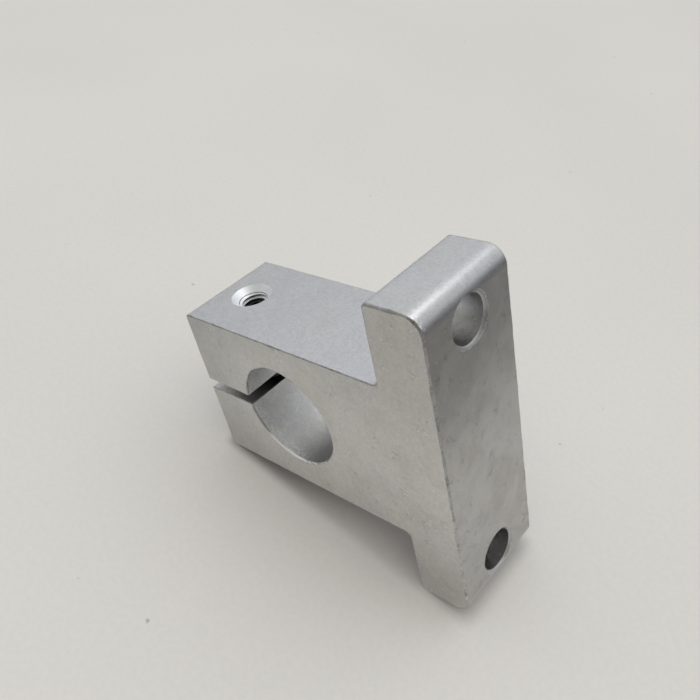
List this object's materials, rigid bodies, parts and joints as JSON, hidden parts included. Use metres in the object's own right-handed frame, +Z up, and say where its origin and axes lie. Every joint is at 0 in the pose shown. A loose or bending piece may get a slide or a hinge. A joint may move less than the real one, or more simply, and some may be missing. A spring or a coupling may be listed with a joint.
{
  "type": "shaft support block",
  "caption": "T-shaped clamp block that holds the end of a round shaft above a mounting plate, with a slit bore, a clamp screw across the slit and bolt holes in the foot.",
  "frame": {"origin": "middle of the mounting face under the foot", "axes": "+X across the foot towards the tapped ear, +Y along the shaft, +Z up from the mounting face through the shaft's axis"},
  "size_m": [0.048, 0.016, 0.044],
  "materials": {
    "block": "satin blasted and clear anodised, with smoother sawn ends",
    "screw": "zinc plated"
  },
  "bodies": {
    "block": {"block": "block"},
    "clamp_screw": {"clamp_screw": "screw"}
  },
  "joints": [
    {"name": "clamp_screw_turn", "type": "hinge", "parent": "block", "child": "clamp_screw", "pos_m": [-0.008, 0, 0.03825], "axis": [1, 0, 0], "range_deg": [-180, 0]}
  ]
}
